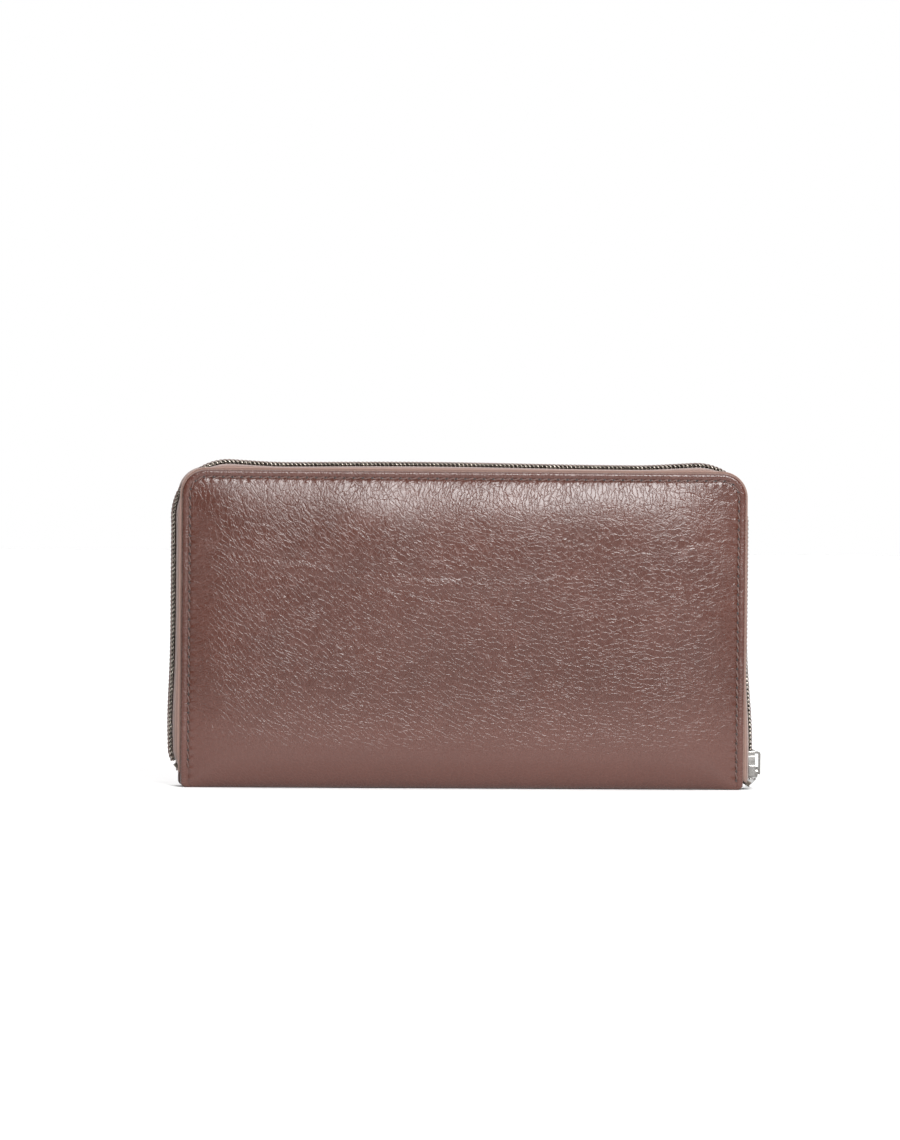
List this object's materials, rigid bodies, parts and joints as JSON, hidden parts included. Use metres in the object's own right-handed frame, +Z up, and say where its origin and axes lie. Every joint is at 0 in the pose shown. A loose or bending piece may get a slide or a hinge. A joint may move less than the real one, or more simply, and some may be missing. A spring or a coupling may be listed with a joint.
{
  "type": "zip-around long wallet",
  "caption": "Long leather wallet that stands on its spine, closed by a zip round three sides, with padded covers, card pockets and a zipped coin pocket.",
  "frame": {"origin": "centre of the spine's flat resting face", "axes": "+X along the spine (width), +Y from the front cover to the back cover (thickness), +Z up from the spine to the zip's top run (height)"},
  "size_m": [0.1993, 0.031, 0.1096],
  "materials": {
    "outer_leather": "satin pebbled",
    "inner_leather": "satin smooth",
    "lining_cloth": "woven twill",
    "zip_tape": "woven tape",
    "thread": "waxed thread",
    "zip_teeth": "antique dark",
    "zip_metal": "nickel plated",
    "foam": "soft foam",
    "board": "grey board"
  },
  "bodies": {
    "back_cover": {"back_cover_leather": "outer_leather", "back_foam_pad": "foam", "back_stiffener_board": "board", "back_lining": "lining_cloth", "back_stitching": "thread", "back_zip_tape": "zip_tape", "back_zip_teeth": "zip_teeth", "back_top_stop": "zip_teeth", "front_top_stop": "zip_teeth", "bottom_stop": "zip_teeth", "spine_leather": "outer_leather", "spine_lining": "lining_cloth", "back_slip_panel": "inner_leather", "back_card_pockets_left": "inner_leather", "back_card_pockets_right": "inner_leather"},
    "front_cover": {"front_cover_leather": "outer_leather", "front_foam_pad": "foam", "front_stiffener_board": "board", "front_lining": "lining_cloth", "front_stitching": "thread", "front_zip_tape": "zip_tape", "front_zip_teeth": "zip_teeth", "front_slip_panel": "inner_leather", "front_card_pockets_left": "inner_leather", "front_card_pockets_right": "inner_leather"},
    "coin_pocket": {"coin_pocket_front": "lining_cloth", "coin_pocket_back": "lining_cloth", "coin_zip_tape_front": "zip_tape", "coin_zip_tape_back": "zip_tape", "coin_zip_teeth_front": "zip_teeth", "coin_zip_teeth_back": "zip_teeth", "left_gusset": "lining_cloth", "right_gusset": "lining_cloth"},
    "zip_slider": {"zip_slider_body": "zip_metal", "zip_slider_crown": "zip_metal"},
    "zip_pull": {"zip_pull_tab": "zip_metal"},
    "coin_slider": {"coin_slider_body": "zip_metal", "coin_slider_crown": "zip_metal"},
    "coin_pull": {"coin_pull_tab": "zip_metal"}
  },
  "joints": [
    {"name": "front_cover_opening", "type": "hinge", "parent": "back_cover", "child": "front_cover", "pos_m": [0, -0.0083, 0], "axis": [1, 0, 0], "range_deg": [0, 50], "deforming": ["back_zip_tape", "front_zip_tape", "back_zip_teeth", "front_zip_teeth", "left_gusset", "right_gusset"]},
    {"name": "coin_pocket_leaning", "type": "hinge", "parent": "back_cover", "child": "coin_pocket", "pos_m": [0, -0.0083, 0], "axis": [1, 0, 0], "range_deg": [0, 25]},
    {"name": "zip_slider_travel", "type": "slide", "parent": "back_cover", "child": "zip_slider", "axis": [0, 0, 1], "range_m": [0, 0.072]},
    {"name": "zip_pull_swing", "type": "hinge", "parent": "zip_slider", "child": "zip_pull", "pos_m": [0.1003, 0, 0.0057], "axis": [1, 0, 0], "range_deg": [-170, 50]},
    {"name": "coin_slider_travel", "type": "slide", "parent": "coin_pocket", "child": "coin_slider", "axis": [1, 0, 0], "range_m": [0, 0.112]},
    {"name": "coin_pull_swing", "type": "hinge", "parent": "coin_slider", "child": "coin_pull", "pos_m": [-0.0548, 0, 0.0947], "axis": [0, 1, 0], "range_deg": [-175, 0]}
  ],
  "couplings": [
    {"joint": "coin_pocket_leaning", "follows": "front_cover_opening", "ratio": 0.5}
  ]
}
